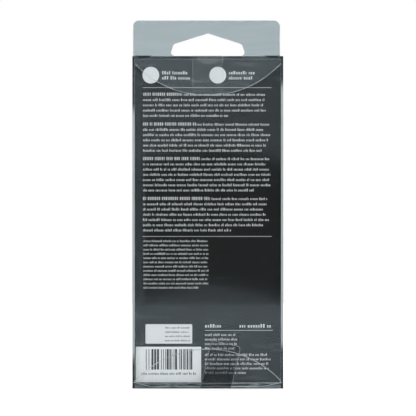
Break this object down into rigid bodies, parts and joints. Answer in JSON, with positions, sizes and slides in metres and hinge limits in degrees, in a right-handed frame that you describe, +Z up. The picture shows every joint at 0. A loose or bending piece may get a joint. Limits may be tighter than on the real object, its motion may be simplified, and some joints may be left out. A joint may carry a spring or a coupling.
{
  "type": "eyebrow razor in hanging box",
  "caption": "Clear folding box with a hang tab, printed card and formed tray that holds a capped eyebrow razor; both tuck lids open and the blade cap slides off.",
  "frame": {"origin": "under the middle of the box, on the surface that it stands on", "axes": "+Z up towards the hang tab, -Y out of the printed back, +Y out of the front, +X to the right as the back is read"},
  "size_m": [0.08, 0.0231, 0.1952],
  "materials": {
    "clear_sheet": "clear thin sheet, glossy, slightly smoky",
    "seal_tape": "clear adhesive tape, glossy",
    "printed_card": "matt charcoal card with plain pale print blocks",
    "tray_sheet": "satin formed sheet, pale grey",
    "handle_plastic": "soft matt moulded plastic",
    "comb_plastic": "satin moulded plastic",
    "cap_plastic": "translucent smoky plastic",
    "blade_steel": "ground stainless steel"
  },
  "bodies": {
    "box": {"back_panel": "clear_sheet", "front_panel": "clear_sheet", "left_side_panel": "clear_sheet", "right_side_panel": "clear_sheet", "glue_flap": "clear_sheet", "top_seal_back": "seal_tape", "bottom_seal_back": "seal_tape", "insert_card": "printed_card", "product_tray": "tray_sheet", "razor_handle": "handle_plastic", "razor_blade": "blade_steel", "guard_comb": "comb_plastic", "blade_clamp": "handle_plastic", "clamp_pins": "blade_steel"},
    "top_lid": {"top_lid": "clear_sheet", "top_seal_lid": "seal_tape"},
    "top_tuck": {"top_tuck_flap": "clear_sheet"},
    "top_dust_left": {"top_dust_flap_left": "clear_sheet"},
    "top_dust_right": {"top_dust_flap_right": "clear_sheet"},
    "bottom_lid": {"bottom_lid": "clear_sheet", "bottom_seal_lid": "seal_tape"},
    "bottom_tuck": {"bottom_tuck_flap": "clear_sheet"},
    "bottom_dust_left": {"bottom_dust_flap_left": "clear_sheet"},
    "bottom_dust_right": {"bottom_dust_flap_right": "clear_sheet"},
    "cap": {"blade_cap": "cap_plastic"}
  },
  "joints": [
    {"name": "top_lid_hinge", "type": "hinge", "parent": "box", "child": "top_lid", "pos_m": [0, 0.0115, 0.1763], "axis": [-1, 0, 0], "range_deg": [0, 110]},
    {"name": "top_tuck_hinge", "type": "hinge", "parent": "top_lid", "child": "top_tuck", "pos_m": [0, -0.01055, 0.1759], "axis": [-1, 0, 0], "range_deg": [-66, 0]},
    {"name": "top_dust_left_hinge", "type": "hinge", "parent": "box", "child": "top_dust_left", "pos_m": [-0.04, 0, 0.17575], "axis": [0, -1, 0], "range_deg": [0, 16]},
    {"name": "top_dust_right_hinge", "type": "hinge", "parent": "box", "child": "top_dust_right", "pos_m": [0.04, 0, 0.17575], "axis": [0, 1, 0], "range_deg": [0, 16]},
    {"name": "bottom_lid_hinge", "type": "hinge", "parent": "box", "child": "bottom_lid", "pos_m": [0, 0.0115, 0.0001], "axis": [1, 0, 0], "range_deg": [0, 110]},
    {"name": "bottom_tuck_hinge", "type": "hinge", "parent": "bottom_lid", "child": "bottom_tuck", "pos_m": [0, -0.01055, 0.0005], "axis": [1, 0, 0], "range_deg": [-66, 0]},
    {"name": "bottom_dust_left_hinge", "type": "hinge", "parent": "box", "child": "bottom_dust_left", "pos_m": [-0.04, 0, 0.00065], "axis": [0, 1, 0], "range_deg": [0, 16]},
    {"name": "bottom_dust_right_hinge", "type": "hinge", "parent": "box", "child": "bottom_dust_right", "pos_m": [0.04, 0, 0.00065], "axis": [0, -1, 0], "range_deg": [0, 16]},
    {"name": "cap_slide", "type": "slide", "parent": "box", "child": "cap", "axis": [0, 0, 1], "range_m": [0, 0.037]}
  ],
  "couplings": [
    {"joint": "top_tuck_hinge", "follows": "top_lid_hinge", "ratio": -0.53},
    {"joint": "top_dust_left_hinge", "follows": "top_lid_hinge", "ratio": 0.12},
    {"joint": "top_dust_right_hinge", "follows": "top_lid_hinge", "ratio": 0.12},
    {"joint": "bottom_tuck_hinge", "follows": "bottom_lid_hinge", "ratio": -0.53},
    {"joint": "bottom_dust_left_hinge", "follows": "bottom_lid_hinge", "ratio": 0.12},
    {"joint": "bottom_dust_right_hinge", "follows": "bottom_lid_hinge", "ratio": 0.12}
  ]
}
